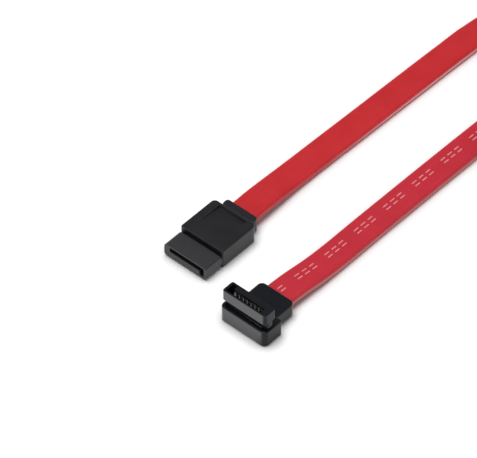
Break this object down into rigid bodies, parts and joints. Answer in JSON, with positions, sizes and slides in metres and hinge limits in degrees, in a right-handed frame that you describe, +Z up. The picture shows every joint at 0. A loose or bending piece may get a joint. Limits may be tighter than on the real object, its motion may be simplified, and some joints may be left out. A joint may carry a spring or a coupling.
{
  "type": "sata data cable",
  "caption": "Flat red data cable with a straight plug at one end and a plug turned up at a right angle at the other; each has a keyed slot with gold contacts.",
  "frame": {"origin": "on the surface the cable lies on, below the middle of the box round the two plugs", "axes": "+Z up from that surface; -X towards the plugs' ends, so the ribbons run away along +X; the straight plug is on the +Y side and the plug turned up on the -Y side"},
  "size_m": [0.2666, 0.0832, 0.013],
  "materials": {
    "housing_pbt": "moulded black plastic, satin",
    "overmould_satin": "moulded black plastic, satin",
    "overmould_gloss": "moulded black plastic, glossy",
    "contact_gold": "gold-plated copper alloy",
    "core_insulation": "extruded off-white insulation",
    "drain_wire": null,
    "shield_foil": "bright foil",
    "ribbon_jacket": "extruded soft red plastic, satin",
    "tie_nylon": "moulded black nylon"
  },
  "bodies": {
    "root": {"straight_housing": "housing_pbt", "straight_contact_1": "contact_gold", "straight_contact_2": "contact_gold", "straight_contact_3": "contact_gold", "straight_contact_4": "contact_gold", "straight_contact_5": "contact_gold", "straight_contact_6": "contact_gold", "straight_contact_7": "contact_gold", "straight_overmould": "overmould_satin", "straight_core_1": "core_insulation", "straight_drain_1": "drain_wire", "straight_core_2": "core_insulation", "straight_drain_2": "drain_wire", "straight_core_3": "core_insulation", "straight_drain_3": "drain_wire", "straight_core_4": "core_insulation", "straight_drain_4": "drain_wire", "straight_foil_1": "shield_foil", "straight_foil_2": "shield_foil", "angled_housing": "housing_pbt", "angled_contact_1": "contact_gold", "angled_contact_2": "contact_gold", "angled_contact_3": "contact_gold", "angled_contact_4": "contact_gold", "angled_contact_5": "contact_gold", "angled_contact_6": "contact_gold", "angled_contact_7": "contact_gold", "angled_overmould": "overmould_gloss", "angled_core_1": "core_insulation", "angled_drain_1": "drain_wire", "angled_core_2": "core_insulation", "angled_drain_2": "drain_wire", "angled_core_3": "core_insulation", "angled_drain_3": "drain_wire", "angled_core_4": "core_insulation", "angled_drain_4": "drain_wire", "angled_foil_1": "shield_foil", "angled_foil_2": "shield_foil", "straight_run": "ribbon_jacket", "angled_run": "ribbon_jacket", "loop": "ribbon_jacket", "tie": "tie_nylon"}
  },
  "joints": []
}
